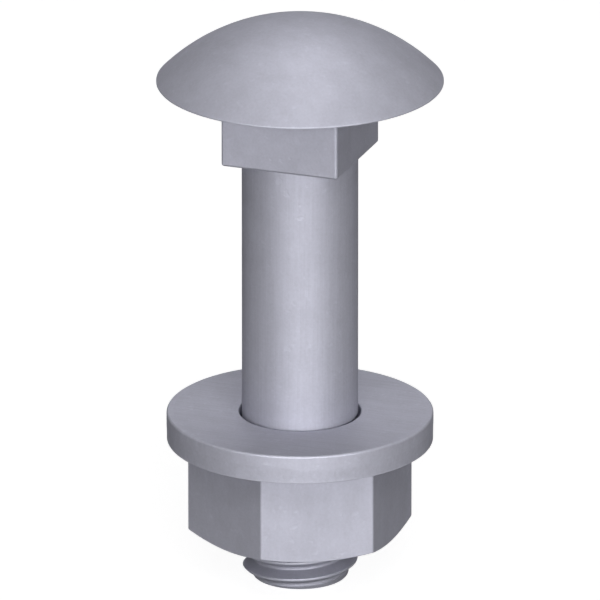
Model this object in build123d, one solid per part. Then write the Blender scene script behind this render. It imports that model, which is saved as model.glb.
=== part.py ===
from build123d import *
import math
import os

os.makedirs("parts", exist_ok=True)

# A cup-head, square-neck bolt, M10 x 45, with its flat washer and hexagon nut.
# Millimetres. The bolt stands on its flat end: +Z runs along it to the head,
# and the origin is the middle of that end.

# Bolt
thread_diameter = 10.0
thread_pitch = 1.5
bolt_length = 45.0
head_diameter = 24.65
head_height = 5.38
head_rim_land = 0.15
head_rim_radius = 0.06
neck_step = 0.29
neck_depth = 6.6
neck_edge_radius = 0.25
neck_root_radius = 0.3
end_chamfer = 1.0

# Washer
washer_diameter = 23.0
washer_thickness = 2.5
washer_edge_break = 0.15

# Nut
nut_across_flats = 17.0
nut_height = 8.4
nut_chamfer_angle = 22.0
nut_face_inset = 0.15
nut_countersink_angle = 120.0
nut_countersink_step = 0.4

# How the pieces go together
grip = 30.0
spare_thread = 1.5
thread_clearance = 0.05
washer_clearance = 0.25

# A rolled thread stands half in and half out of the pitch cylinder, so the
# blank is that cylinder. This is the pitch diameter of a 60 degree thread.
shank_radius = thread_diameter / 2
pitch_radius = shank_radius - thread_pitch * math.sqrt(3) * 3 / 16

head_seat = bolt_length
washer_top = head_seat - grip
washer_bottom = washer_top - washer_thickness
nut_bottom = washer_bottom - nut_height
thread_end = washer_bottom + spare_thread


def cup_head():
    """The shallow dome, turned about the axis, with its narrow trimmed rim."""
    radius = head_diameter / 2
    rise = head_height - head_rim_land
    dome_radius = (radius**2 + rise**2) / (2 * rise)
    dome_centre = head_height - dome_radius
    middle_angle = math.asin(radius / dome_radius) / 2
    middle = (
        dome_radius * math.sin(middle_angle),
        dome_centre + dome_radius * math.cos(middle_angle),
    )
    corner = (radius, head_rim_land)
    outline = Polyline((0, head_height), (0, 0), (radius, 0), corner)
    outline += ThreePointArc(corner, middle, (0, head_height))
    section = make_face(outline)
    section = fillet(section.vertices().sort_by(Axis.X)[-2:], head_rim_radius)
    return Pos(0, 0, head_seat) * revolve(Plane.XZ * section, axis=Axis.Z)


def square_neck():
    """The square that stops the bolt from turning, with its forged edges."""
    width = thread_diameter + 2 * neck_step
    neck = Pos(0, 0, head_seat - neck_depth / 2) * Box(width, width, neck_depth)
    upright = neck.edges().filter_by(Axis.Z)
    lower = neck.faces().sort_by(Axis.Z)[0].edges()
    return fillet(upright + lower, neck_edge_radius)


def shank():
    """The round shank, drawn down to the pitch cylinder where the thread is rolled."""
    shoulder = shank_radius - pitch_radius
    chamfer_left = end_chamfer - shoulder
    neck_middle = head_seat - neck_depth / 2
    outline = [
        (0, 0),
        (shank_radius - end_chamfer, 0),
        (pitch_radius, chamfer_left),
        (pitch_radius, thread_end),
        (shank_radius, thread_end + shoulder),
        (shank_radius, neck_middle),
        (0, neck_middle),
    ]
    return revolve(Plane.XZ * Polygon(*outline, align=None), axis=Axis.Z)


def carriage_bolt():
    """Head, neck and shank are one cold forging."""
    bolt = cup_head() + square_neck() + shank()
    bearing_face = bolt.faces().filter_by(GeomType.PLANE).sort_by(SortBy.AREA)[-1]
    root = bearing_face.inner_wires()[0].edges()
    return fillet(root, neck_root_radius)


def flat_washer():
    """A blanked ring that slides over the shank, its edges just broken."""
    middle = (washer_top + washer_bottom) / 2
    disc = Cylinder(washer_diameter / 2, washer_thickness)
    hole = Cylinder(shank_radius + washer_clearance, washer_thickness)
    ring = disc - hole
    return Pos(0, 0, middle) * chamfer(ring.edges().filter_by(GeomType.CIRCLE), washer_edge_break)


def nut_envelope():
    """The turned shape that the hexagon is cut to: a drum with a cone at each end."""
    face_radius = nut_across_flats / 2 - nut_face_inset
    corner_radius = nut_across_flats / math.sqrt(3)
    chamfer_height = (corner_radius - face_radius) * math.tan(math.radians(nut_chamfer_angle))
    outline = [
        (0, 0),
        (face_radius, 0),
        (corner_radius, chamfer_height),
        (corner_radius, nut_height - chamfer_height),
        (face_radius, nut_height),
        (0, nut_height),
    ]
    return revolve(Plane.XZ * Polygon(*outline, align=None), axis=Axis.Z)


def nut_bore():
    """The tapped hole at its pitch cylinder, with a countersink at each mouth."""
    bore_radius = pitch_radius + thread_clearance
    mouth_radius = shank_radius + nut_countersink_step
    depth = (mouth_radius - bore_radius) / math.tan(math.radians(nut_countersink_angle / 2))
    outline = [
        (0, 0),
        (mouth_radius, 0),
        (bore_radius, depth),
        (bore_radius, nut_height - depth),
        (mouth_radius, nut_height),
        (0, nut_height),
    ]
    return revolve(Plane.XZ * Polygon(*outline, align=None), axis=Axis.Z)


def hex_nut():
    """A hexagon with two flats square to X, chamfered by the cones and bored."""
    hexagon = RegularPolygon(nut_across_flats / 2, 6, major_radius=False, rotation=30)
    nut = extrude(hexagon, nut_height) & nut_envelope()
    return Pos(0, 0, nut_bottom) * (nut - nut_bore())


pieces = {
    "carriage_bolt": carriage_bolt(),
    "flat_washer": flat_washer(),
    "hex_nut": hex_nut(),
}
for name, piece in pieces.items():
    export_step(piece, f"parts/{name}.step")
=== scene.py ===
import math

import bmesh
import bpy
from mathutils import Matrix, Vector


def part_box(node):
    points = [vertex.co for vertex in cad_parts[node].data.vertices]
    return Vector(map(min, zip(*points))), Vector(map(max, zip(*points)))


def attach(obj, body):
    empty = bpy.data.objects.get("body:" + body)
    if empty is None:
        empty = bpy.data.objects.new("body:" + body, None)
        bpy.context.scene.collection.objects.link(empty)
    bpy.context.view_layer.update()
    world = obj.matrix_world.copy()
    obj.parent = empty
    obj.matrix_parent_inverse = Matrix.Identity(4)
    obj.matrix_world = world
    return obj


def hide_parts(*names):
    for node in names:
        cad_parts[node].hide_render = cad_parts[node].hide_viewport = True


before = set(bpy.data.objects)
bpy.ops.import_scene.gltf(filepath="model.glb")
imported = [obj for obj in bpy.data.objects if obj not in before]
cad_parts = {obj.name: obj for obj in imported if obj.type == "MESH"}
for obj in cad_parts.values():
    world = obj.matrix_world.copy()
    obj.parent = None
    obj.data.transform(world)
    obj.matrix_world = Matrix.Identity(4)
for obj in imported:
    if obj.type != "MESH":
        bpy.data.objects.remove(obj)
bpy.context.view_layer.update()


# Carriage bolt. Head, square neck, shank and thread are one piece of mild steel, cold headed from
# wire in closed dies. Its M10 thread is rolled, and the whole bolt is barrel plated with zinc.

millimetres = 1000
bolt_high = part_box("carriage_bolt")[1]
head_radius = bolt_high.x * millimetres
head_height = 5.38
bolt_seat = bolt_high.z * millimetres - head_height
dome_edge_radius = 0.08
rim_land = 0.15
rim_radius = 0.06
bearing_insets = (0.5, 1.3, 2.4, 3.4)
neck_half_width = 5.29
neck_depth = 6.6
neck_bottom = bolt_seat - neck_depth
neck_corner = 0.25
neck_root = 0.3
root_reach = 0.9
shank_radius = 5.0
shank_end_band = 0.3
thread_pitch = 1.5
thread_crest = 4.98
thread_root = 4.08
crest_round = 0.05
root_round = 0.12
thread_top = 14.9
run_out_start = 13.5
end_radius = 4.0
end_edge = 0.06
end_round = 0.05
end_rim = 0.4


def eased(corners, steps=4):
    """The line through (across, along, radius) corners, each rounded to its own radius in steps.
    A radius of 0 leaves the corner sharp."""
    line = []
    for place, (across, along, radius) in enumerate(corners):
        corner = Vector((across, along))
        if radius == 0:
            line.append(corner)
            continue
        back = (Vector(corners[place - 1][:2]) - corner).normalized()
        ahead = (Vector(corners[place + 1][:2]) - corner).normalized()
        half_angle = back.angle(ahead) / 2
        middle = corner + (back + ahead).normalized() * radius / math.sin(half_angle)
        reach = radius / math.tan(half_angle)
        first = (corner + back * reach - middle).normalized()
        last = (corner + ahead * reach - middle).normalized()
        for step in range(steps + 1):
            line.append(middle + first.slerp(last, step / steps) * radius)
    return line


def prism_ring(sides, half_width, corner, flat_steps, corner_steps=6):
    """Points round a prism with a flat square to +X, its upright corners turned to a radius."""
    half_turn = math.pi / sides
    centre_line = half_width - corner
    half_flat = centre_line * math.tan(half_turn)
    widest = math.atan2(half_flat, half_width)
    ring = []
    for side in range(sides):
        facing = Matrix.Rotation(2 * half_turn * side, 2)
        for step in range(flat_steps + 1):
            angle = widest * (2 * step / flat_steps - 1)
            along = half_flat * math.tan(angle) / math.tan(widest)
            ring.append(facing @ Vector((half_width, along)))
        for step in range(1, corner_steps):
            angle = 2 * half_turn * step / corner_steps
            spoke = Vector((math.cos(angle), math.sin(angle)))
            ring.append(facing @ (Vector((centre_line, half_flat)) + spoke * corner))
    return ring


def round_ring(radius, angles):
    """Points round a circle at the given angles."""
    return [Vector((math.cos(angle), math.sin(angle))) * radius for angle in angles]


def turn_angles(ring):
    """The angle of each point of a ring, rising all the way round from the first."""
    first = math.atan2(ring[0].y, ring[0].x)
    return [first + (math.atan2(point.y, point.x) - first) % (2 * math.pi) for point in ring]


def at_height(ring, height):
    """A flat ring lifted to its height."""
    return [Vector((point.x, point.y, height)) for point in ring]


def weave(mesh, rows, finish=0, rise=0):
    """Joins rows of points by faces of one finish. Over one turn a row climbs by rise rows."""
    grid = [[mesh.verts.new(point) for point in row] for row in rows]
    columns = len(rows[0])
    for low in range(len(rows) - 1):
        for column in range(columns):
            beside = (column + 1) % columns
            step = rise if beside == 0 else 0
            if low + 1 + step < len(rows):
                face = mesh.faces.new((
                    grid[low][column],
                    grid[low + step][beside],
                    grid[low + 1 + step][beside],
                    grid[low + 1][column],
                ))
                face.material_index = finish


def thread_rows(section, angles, bottom, top, trim):
    """Rows that follow a right-hand thread between two heights. The section gives (along, radius)
    over one pitch, and trim gives the radius that is left at a height. The spare turns at both
    ends are pressed flat there, and finish_mesh welds them away."""
    first_pitch = math.floor(bottom / thread_pitch) - 2
    last_pitch = math.ceil(top / thread_pitch) + 1
    rows = []
    for count in range(first_pitch, last_pitch):
        for along, radius in section:
            row = []
            for angle in angles:
                height = thread_pitch * (count + angle / (2 * math.pi)) + along
                height = min(max(height, bottom), top)
                left = trim(height, radius)
                row.append(Vector((math.cos(angle) * left, math.sin(angle) * left, height)))
            rows.append(row)
    return rows


def finish_mesh(name, mesh):
    """Joins the woven parts into one closed skin in metres. Its flats shade flat and its rounded
    edges smooth. The normals are worked out in millimetres, because smaller faces count as none."""
    widest_gap = 0.0005
    shortest_edge = 0.0001
    sharp_turn = math.radians(40)
    bmesh.ops.remove_doubles(mesh, verts=mesh.verts, dist=widest_gap)
    bmesh.ops.dissolve_degenerate(mesh, edges=mesh.edges, dist=shortest_edge)
    bmesh.ops.recalc_face_normals(mesh, faces=mesh.faces)
    data = bpy.data.meshes.new(name)
    mesh.to_mesh(data)
    mesh.free()
    data.shade_smooth()
    data.set_sharp_from_angle(angle=sharp_turn)
    piece = bpy.data.objects.new(name, data)
    bpy.context.scene.collection.objects.link(piece)
    even = piece.modifiers.new("even_shading", "WEIGHTED_NORMAL")
    even.mode = "FACE_AREA"
    even.weight = 80
    even.keep_sharp = True
    evened = piece.evaluated_get(bpy.context.evaluated_depsgraph_get())
    piece.data = bpy.data.meshes.new_from_object(evened)
    piece.data.name = name + "_skin"
    piece.modifiers.clear()
    piece.data.transform(Matrix.Scale(1 / millimetres, 4))
    return piece


def neck_ring(grow=0.0):
    """The square neck's outline, grown or shrunk all round."""
    return prism_ring(4, neck_half_width + grow, neck_corner + grow, flat_steps=44)


bolt_angles = turn_angles(neck_ring())
bolt_mesh = bmesh.new()

dome_rise = head_height - rim_land
dome_radius = (head_radius**2 + dome_rise**2) / (2 * dome_rise)
dome_centre = bolt_seat + head_height - dome_radius
dome_span = math.asin(head_radius / dome_radius)
dome_steps = 40
dome = []
for step in range(dome_steps):
    angle = dome_span * step / dome_steps
    dome.append((dome_radius * math.sin(angle), dome_centre + dome_radius * math.cos(angle)))
rim = eased([
    (*dome[-1], 0),
    (head_radius, bolt_seat + rim_land, dome_edge_radius),
    (head_radius, bolt_seat, rim_radius),
    (head_radius - bearing_insets[0], bolt_seat, 0),
])
under_head = [(head_radius - inset, bolt_seat) for inset in bearing_insets[1:]]
head_rows = []
for radius, height in [*dome[:-1], *rim, *under_head]:
    head_rows.append(at_height(round_ring(radius, bolt_angles), height))
weave(bolt_mesh, head_rows)

# The lower edge takes almost the whole corner, and leaves a little for the last ring to turn.
lower_edge_round = neck_corner - 0.02
neck_section = eased([
    (root_reach, bolt_seat, 0),
    (0.0, bolt_seat, neck_root),
    (0.0, neck_bottom, lower_edge_round),
    (-lower_edge_round, neck_bottom, 0),
])
neck_rows = [head_rows[-1]]
for grow, height in neck_section:
    neck_rows.append(at_height(neck_ring(grow), height))
neck_rows.append(at_height(round_ring(shank_radius, bolt_angles), neck_bottom))
weave(bolt_mesh, neck_rows)

shank_heights = (
    neck_bottom,
    neck_bottom - shank_end_band,
    (neck_bottom + thread_top) / 2,
    thread_top + shank_end_band,
    thread_top,
)
shank_rows = [at_height(round_ring(shank_radius, bolt_angles), height) for height in shank_heights]
weave(bolt_mesh, shank_rows, finish=1)

half_crest = thread_pitch / 16
flank_foot = thread_pitch / 2 - thread_pitch / 8
foot_spread = 0.04
foot_lift = 0.02
bolt_section = eased([
    (-thread_pitch / 2, thread_root, 0),
    (-flank_foot - foot_spread, thread_root + foot_lift, root_round),
    (-half_crest, thread_crest, crest_round),
    (half_crest, thread_crest, crest_round),
    (flank_foot + foot_spread, thread_root + foot_lift, root_round),
    (thread_pitch / 2, thread_root, 0),
], steps=2)[:-1]


def bolt_trim(height, radius):
    """The turned point cuts the first crests, and the last grooves fade out into the shank."""
    fade = (height - run_out_start) / (thread_top - run_out_start)
    floor = thread_root + (shank_radius - thread_root) * fade
    return max(min(radius, end_radius + height), floor)


bolt_thread = thread_rows(bolt_section, bolt_angles, end_edge, thread_top, bolt_trim)
weave(bolt_mesh, bolt_thread, finish=2, rise=len(bolt_section))

end_section = eased([
    (end_radius + end_edge, end_edge, 0),
    (end_radius, 0.0, end_round),
    (end_radius - end_rim, 0.0, 0),
    (end_radius / 2, 0.0, 0),
    (0.0, 0.0, 0),
])
end_rows = [at_height(round_ring(radius, bolt_angles), height) for radius, height in end_section]
weave(bolt_mesh, end_rows, finish=3)

bolt = finish_mesh("plated_carriage_bolt", bolt_mesh)


dull_zinc = (0.398, 0.40, 0.458, 1)
plain_zinc = (0.503, 0.505, 0.583, 1)
bright_zinc = (0.604, 0.61, 0.70, 1)
cloud_share = 0.45
grain_share = 0.5
worn_edge_share = 0.3
nick_share = 0.12
matt_swing = 0.08
cloud_relief = 0.014
grain_relief = 0.006
nick_relief = 0.008
worn_edge_width = 0.0003


def plated_steel(name, layout, stretch, tone=0.5, marks=0.3, relief=0.004, matt=0.56, shaded_grooves=None):
    """Zinc plate over steel. Its marks lie straight, around the axis or in rings, one ripple of
    noise for each 1 / stretch metres, and relief is how deep they are in millimetres. A bright
    plate has a matt of 0 and a dead one 1. The groove radii are a thread's root and crest, in
    metres, and between them the colour is painted darker towards the root: painted shade, with
    some grime. A tone of 0 is dull, 0.5 plain and 1 bright."""
    material = bpy.data.materials.new(name)
    material.use_nodes = True
    tree = material.node_tree
    shader = tree.nodes["Principled BSDF"]

    def add(kind, sources=(), operation=None, values=()):
        """A node with its inputs linked from sources, or set from values, in order."""
        node = tree.nodes.new("ShaderNode" + kind)
        if operation:
            node.operation = operation
        for socket, source in zip(node.inputs, sources):
            if source is not None:
                tree.links.new(source, socket)
        for place, value in values:
            node.inputs[place].default_value = value
        return node

    def blend_in(base, extra, share):
        """The base tone with a share of one more pattern, centred so that the mean stays."""
        part = add("Math", [extra], "MULTIPLY_ADD", [(1, share), (2, -share / 2)])
        return add("Math", [base, part.outputs[0]], "ADD").outputs[0]

    where = add("TexCoord").outputs["Object"]
    flat = add("VectorMath", [where], "MULTIPLY", [(1, (1, 1, 0))]).outputs[0]
    upright = add("VectorMath", [where], "MULTIPLY", [(1, (0, 0, 1))]).outputs[0]
    radius = add("VectorMath", [flat], "LENGTH").outputs["Value"]
    if layout == "around":
        unit = add("VectorMath", [flat], "NORMALIZE").outputs[0]
        scaled = add("VectorMath", [unit], "SCALE")
        scaled.inputs["Scale"].default_value = shank_radius / millimetres
        line_of_marks = add("VectorMath", [scaled.outputs[0], upright], "ADD").outputs[0]
    elif layout == "rings":
        across = add("CombineXYZ", [radius]).outputs[0]
        line_of_marks = add("VectorMath", [across, upright], "ADD").outputs[0]
    else:
        line_of_marks = where
    spread = add("VectorMath", [line_of_marks], "MULTIPLY", [(1, stretch)]).outputs[0]

    streaks = add("TexNoise", [spread], values=[("Scale", 1), ("Detail", 3), ("Roughness", 0.6)])
    clouds = add("TexNoise", [where], values=[("Scale", 420), ("Detail", 3), ("Roughness", 0.55)])
    grain = add("TexNoise", [where], values=[("Scale", 4200), ("Detail", 3), ("Roughness", 0.65)])
    nicks = add("TexNoise", [where], values=[("Scale", 1500), ("Detail", 1), ("Roughness", 0.4)])
    nick_span = [("From Min", 0.66), ("From Max", 0.74)]
    nick = add("MapRange", [nicks.outputs["Fac"]], values=nick_span).outputs[0]

    rounded = add("Bevel", values=[("Radius", worn_edge_width)])
    rounded.samples = 4
    smooth = add("NewGeometry").outputs["Normal"]
    likeness = add("VectorMath", [rounded.outputs[0], smooth], "DOT_PRODUCT").outputs["Value"]
    edge_span = [("From Min", 0.995), ("From Max", 0.9)]
    edge = add("MapRange", [likeness], values=edge_span).outputs[0]

    shade = add("Math", [], "ADD", [(0, tone), (1, 0)]).outputs[0]
    shade = blend_in(shade, streaks.outputs["Fac"], marks)
    shade = blend_in(shade, clouds.outputs["Fac"], cloud_share)
    shade = blend_in(shade, grain.outputs["Fac"], grain_share)
    shade = add("Math", [edge, None, shade], "MULTIPLY_ADD", [(1, worn_edge_share)]).outputs[0]
    shade = add("Math", [nick, None, shade], "MULTIPLY_ADD", [(1, nick_share)]).outputs[0]
    # Painted shade: the colour darkens from the thread's crest to its root, with some grime.
    if shaded_grooves:
        depth_span = [("From Min", shaded_grooves[0]), ("From Max", shaded_grooves[1])]
        shadow_span = [("To Min", -0.5), ("To Max", 0.1)]
        depth = add("MapRange", [radius], values=[*depth_span, *shadow_span]).outputs[0]
        shade = add("Math", [shade, depth], "ADD").outputs[0]

    tint = add("ValToRGB", [shade])
    tint.color_ramp.elements[0].position = 0.0
    tint.color_ramp.elements[0].color = dull_zinc
    tint.color_ramp.elements[1].position = 1.0
    tint.color_ramp.elements[1].color = bright_zinc
    tint.color_ramp.elements.new(0.5).color = plain_zinc
    matt_span = [("To Min", matt + matt_swing), ("To Max", matt - matt_swing)]
    satin = add("MapRange", [shade], values=matt_span)

    height = add("Math", [streaks.outputs["Fac"]], "MULTIPLY", [(1, relief)]).outputs[0]
    for pattern, depth in (
        (grain.outputs["Fac"], grain_relief),
        (clouds.outputs["Fac"], cloud_relief),
        (nick, -nick_relief),
    ):
        height = add("Math", [pattern, None, height], "MULTIPLY_ADD", [(1, depth)]).outputs[0]
    bump = add("Bump", values=[("Strength", 1), ("Distance", 1 / millimetres)])
    tree.links.new(height, bump.inputs["Height"])

    tree.links.new(tint.outputs["Color"], shader.inputs["Base Color"])
    tree.links.new(satin.outputs["Result"], shader.inputs["Roughness"])
    tree.links.new(bump.outputs["Normal"], shader.inputs["Normal"])
    shader.inputs["Metallic"].default_value = 0.15
    shader.inputs["Specular IOR Level"].default_value = 0.0
    shader.inputs["Specular Tint"].default_value = (0.1, 0.1, 0.1, 1)
    return material


bolt.data.materials.append(plated_steel("forged_zinc", "straight", (700, 700, 700), matt=0.61))
bolt.data.materials.append(plated_steel("drawn_zinc", "around", (5000, 5000, 120), marks=0.5))
bolt.data.materials.append(
    plated_steel("rolled_thread_zinc", "around", (900, 900, 900), shaded_grooves=(0.0042, 0.0049))
)
bolt.data.materials.append(
    plated_steel("sheared_end_zinc", "straight", (600, 5000, 600), tone=0.4, relief=0.02)
)
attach(bolt, "bolt")
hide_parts("carriage_bolt")


# Flat washer. A ring blanked and pierced from strip in one stroke, loose on the shank and resting
# on the nut. The punch rolls the upper edge over, shears a smooth band and tears the rest.

washer_low, washer_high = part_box("flat_washer")
washer_radius = washer_high.x * millimetres
washer_bore = 5.25
washer_bottom = washer_low.z * millimetres
washer_top = washer_high.z * millimetres
washer_columns = 200
edge_run = 0.6
bore_lower_round = 0.08
bore_upper_round = 0.12
rolled_edge = 0.2
torn_corner = 0.05
shear_line = 13.8
shear_wander = ((0.1, 3, 1), (0.05, 8, 0), (0.03, 19, 2))
above_shear = 0.3
below_shear = 0.25
tear_inset = 0.03
above_bottom = 0.4

washer_mesh = bmesh.new()
washer_angles = [math.radians(360 / washer_columns * count) for count in range(washer_columns)]
bore_edge = eased([
    (washer_bore + edge_run, washer_bottom, 0),
    (washer_bore, washer_bottom, bore_lower_round),
    (washer_bore, washer_top, bore_upper_round),
    (washer_bore + edge_run, washer_top, 0),
])
upper_edge = eased([
    (washer_radius - edge_run, washer_top, 0),
    (washer_radius, washer_top, rolled_edge),
    (washer_radius, shear_line + above_shear, 0),
])
lower_edge = eased([
    (washer_radius - tear_inset, washer_bottom + above_bottom, 0),
    (washer_radius - tear_inset, washer_bottom, torn_corner),
    (washer_radius - edge_run, washer_bottom, 0),
])
face_middle = (washer_bore + washer_radius) / 2
upper_face = [bore_edge[-1], (face_middle, washer_top), upper_edge[0]]
lower_face = [lower_edge[-1], (face_middle, washer_bottom), bore_edge[0]]


def washer_rows(section):
    """The rows of points that a section (radius, height) makes round the axis."""
    return [at_height(round_ring(radius, washer_angles), height) for radius, height in section]


def shear_row(drop, inset):
    """A row of the rim that wanders up and down, as the lower line of a sheared band does. Each
    wave of the wander has its height, its count round the rim and where it starts."""
    row = []
    ring = round_ring(washer_radius - inset, washer_angles)
    for point, angle in zip(ring, washer_angles):
        wander = sum(rise * math.sin(count * angle + start) for rise, count, start in shear_wander)
        row.append(Vector((point.x, point.y, shear_line - drop + wander)))
    return row


weave(washer_mesh, washer_rows(bore_edge), finish=1)
weave(washer_mesh, washer_rows(upper_face))
weave(washer_mesh, [*washer_rows(upper_edge), shear_row(0, 0)], finish=1)
torn_edge = [shear_row(0, 0), shear_row(below_shear, tear_inset / 2), *washer_rows(lower_edge)]
weave(washer_mesh, torn_edge, finish=2)
weave(washer_mesh, washer_rows(lower_face))
washer = finish_mesh("plated_flat_washer", washer_mesh)
washer.data.materials.append(
    plated_steel("strip_zinc", "straight", (160, 3600, 160), marks=0.5, matt=0.6)
)
washer.data.materials.append(
    plated_steel("sheared_zinc", "around", (3200, 3200, 260), tone=0.56, marks=0.4)
)
washer.data.materials.append(
    plated_steel("torn_zinc", "straight", (2400, 2400, 1600), marks=0.5, relief=0.012)
)
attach(washer, "washer")
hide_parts("flat_washer")


# Hexagon nut. Forged from bar, chamfered on both faces by a turned cone, countersunk and tapped,
# then plated. It is screwed on from the end, up to the washer.

nut_low, nut_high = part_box("hex_nut")
nut_half_width = nut_high.x * millimetres
nut_bottom = nut_low.z * millimetres
nut_top = nut_high.z * millimetres
nut_corner = 0.25
nut_face_radius = 8.35
nut_face_round = 0.2
nut_chamfer_slope = math.tan(math.radians(22))
nut_chamfer_round = 0.08
nut_mouth = 5.4
mouth_band = 0.3
countersink_slope = math.tan(math.radians(60))
nut_minor = 4.24
nut_minor_round = 0.06
nut_foot_spread = 0.02
nut_major = 5.06

nut_mesh = bmesh.new()
nut_ring = prism_ring(6, nut_half_width, nut_corner, flat_steps=28)
nut_angles = turn_angles(nut_ring)
nut_columns = []
for point, angle in zip(nut_ring, nut_angles):
    reach = point.length
    drop = (reach - nut_face_radius) * nut_chamfer_slope
    column = eased([
        (nut_mouth, nut_bottom, 0),
        (nut_mouth + mouth_band, nut_bottom, 0),
        (nut_face_radius, nut_bottom, nut_face_round),
        (reach, nut_bottom + drop, nut_chamfer_round),
        (reach, nut_top - drop, nut_chamfer_round),
        (nut_face_radius, nut_top, nut_face_round),
        (nut_mouth + mouth_band, nut_top, 0),
        (nut_mouth, nut_top, 0),
    ])
    nut_columns.append([
        Vector((math.cos(angle) * radius, math.sin(angle) * radius, height))
        for radius, height in column
    ])
nut_rows = [list(row) for row in zip(*nut_columns)]

# A column's rows 7 to 16 are the flat between its chamfers, with both rounded corners.
flats_start = 7
flats_end = 16
weave(nut_mesh, nut_rows[:flats_start + 1], finish=1)
weave(nut_mesh, nut_rows[flats_start:flats_end + 1])
weave(nut_mesh, nut_rows[flats_end:], finish=1)

nut_section = eased([
    (-thread_pitch / 2, nut_minor, 0),
    (-flank_foot + nut_foot_spread, nut_minor, nut_minor_round),
    (-half_crest, nut_major, crest_round),
    (half_crest, nut_major, crest_round),
    (flank_foot - nut_foot_spread, nut_minor, nut_minor_round),
    (thread_pitch / 2, nut_minor, 0),
], steps=2)[:-1]


def nut_trim(height, radius):
    """The countersinks clear the thread away at both mouths."""
    depth = min(height - nut_bottom, nut_top - height)
    return max(radius, nut_mouth - depth * countersink_slope)


nut_thread = thread_rows(nut_section, nut_angles, nut_bottom, nut_top, nut_trim)
weave(nut_mesh, nut_thread, finish=2, rise=len(nut_section))
nut = finish_mesh("plated_hex_nut", nut_mesh)
nut.data.materials.append(plated_steel("forged_flat_zinc", "straight", (900, 900, 300)))
nut.data.materials.append(
    plated_steel("turned_zinc", "rings", (9000, 9000, 9000), marks=0.6, relief=0.006)
)
nut.data.materials.append(
    plated_steel("tapped_zinc", "around", (900, 900, 900), tone=0.4, shaded_grooves=(0.0050, 0.0042))
)
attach(nut, "nut")
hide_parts("hex_nut")


# Studio. A pale floor that fades to white, with soft lamps low and high in front and one behind.
# Large panels give the plate its sheen: left and right of the view, and above the head.

view_azimuth = math.radians(20)
view_elevation = math.radians(20)
view_width = 0.05158
view_middle = 0.02508
lens = 1200
sensor = 36
room_light = 0.02
floor_shade = 0.3
floor_glow = 0.925
floor_height = -0.00001
floor_radius = 3.0


def away(azimuth, elevation):
    """The direction from the object out to a lamp or the camera."""
    flat = math.cos(elevation)
    return Vector((math.sin(azimuth) * flat, -math.cos(azimuth) * flat, math.sin(elevation)))


def seen_directly(nodes, links):
    """One where a ray comes from the camera, a reflection or glass, and nought for diffuse light."""
    path = nodes.new("ShaderNodeLightPath")
    either = nodes.new("ShaderNodeMath")
    either.operation = "ADD"
    links.new(path.outputs["Is Camera Ray"], either.inputs[0])
    links.new(path.outputs["Is Glossy Ray"], either.inputs[1])
    any_of = nodes.new("ShaderNodeMath")
    any_of.operation = "ADD"
    any_of.use_clamp = True
    links.new(either.outputs[0], any_of.inputs[0])
    links.new(path.outputs["Is Transmission Ray"], any_of.inputs[1])
    return any_of.outputs[0]


floor_mesh = bmesh.new()
bmesh.ops.create_circle(floor_mesh, cap_ends=True, segments=96, radius=floor_radius)
floor_mesh.transform(Matrix.Translation((0, 0, floor_height)))
floor_data = bpy.data.meshes.new("floor")
floor_mesh.to_mesh(floor_data)
floor_mesh.free()
floor = bpy.data.objects.new("floor", floor_data)
bpy.context.scene.collection.objects.link(floor)
paper = bpy.data.materials.new("pale_floor")
paper.use_nodes = True
nodes = paper.node_tree.nodes
links = paper.node_tree.links
nodes.clear()
matt = nodes.new("ShaderNodeBsdfDiffuse")
matt.inputs["Color"].default_value = (floor_shade,) * 3 + (1,)
glow = nodes.new("ShaderNodeEmission")
glow.inputs["Color"].default_value = (1, 1, 1, 1)
level = nodes.new("ShaderNodeMath")
level.operation = "MULTIPLY"
level.inputs[1].default_value = floor_glow
links.new(seen_directly(nodes, links), level.inputs[0])
links.new(level.outputs[0], glow.inputs["Strength"])
both = nodes.new("ShaderNodeAddShader")
links.new(matt.outputs[0], both.inputs[0])
links.new(glow.outputs[0], both.inputs[1])
surface = nodes.new("ShaderNodeOutputMaterial")
links.new(both.outputs[0], surface.inputs["Surface"])
floor_data.materials.append(paper)

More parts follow.
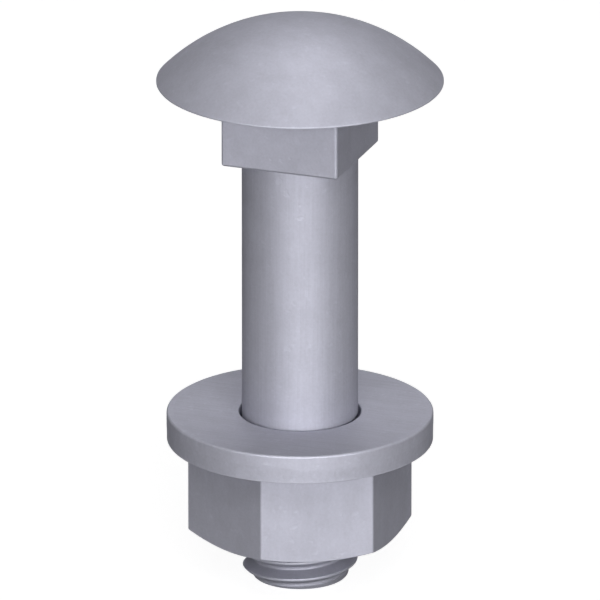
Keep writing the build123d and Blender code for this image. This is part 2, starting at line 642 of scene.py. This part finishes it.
world = bpy.data.worlds.new("room")
bpy.context.scene.world = world
world.use_nodes = True
nodes = world.node_tree.nodes
links = world.node_tree.links
background = nodes["Background"]
background.inputs["Color"].default_value = (1, 1, 1, 1)
strength = nodes.new("ShaderNodeMapRange")
links.new(seen_directly(nodes, links), strength.inputs["Value"])
strength.inputs["To Min"].default_value = room_light
strength.inputs["To Max"].default_value = 1.0
links.new(strength.outputs["Result"], background.inputs["Strength"])


def soft_lamp(name, azimuth, elevation, spread, strength, glossy=True, diffuse=True):
    """A large far lamp, round and soft over its spread. A strength of 1 shows a colour as written."""
    light = bpy.data.lights.new(name, "SUN")
    light.energy = strength * math.pi
    light.angle = math.radians(spread)
    lamp = bpy.data.objects.new(name, light)
    lamp.rotation_mode = "QUATERNION"
    direction = away(math.radians(azimuth), math.radians(elevation))
    lamp.rotation_quaternion = (-direction).to_track_quat("-Z", "Y")
    lamp.visible_glossy = glossy
    lamp.visible_diffuse = diffuse
    bpy.context.scene.collection.objects.link(lamp)


soft_lamp("key_lamp", 24, 10, 40, 0.3, glossy=False)
soft_lamp("high_lamp", 24, 55, 40, 0.28, glossy=False)
soft_lamp("rear_lamp", 200, 8, 20, 0.3, glossy=False)
soft_lamp("left_sheen", 4, 4, 40, 3.05, diffuse=False)
soft_lamp("right_sheen", 44, 4, 40, 3.1, diffuse=False)
soft_lamp("high_sheen", 24, 70, 40, 0.37, diffuse=False)
soft_lamp("top_sheen", 194, 66, 26, 1.03, diffuse=False)

camera_data = bpy.data.cameras.new("camera")
camera_data.lens = lens
camera_data.sensor_width = sensor
camera_data.clip_start = 0.1
camera_data.clip_end = 10
camera = bpy.data.objects.new("camera", camera_data)
line_of_sight = away(view_azimuth, view_elevation)
camera.location = Vector((0, 0, view_middle)) + line_of_sight * view_width * lens / sensor
camera.rotation_mode = "QUATERNION"
camera.rotation_quaternion = (-line_of_sight).to_track_quat("-Z", "Y")
bpy.context.scene.collection.objects.link(camera)
bpy.context.scene.camera = camera
bpy.context.scene.view_settings.view_transform = "Standard"
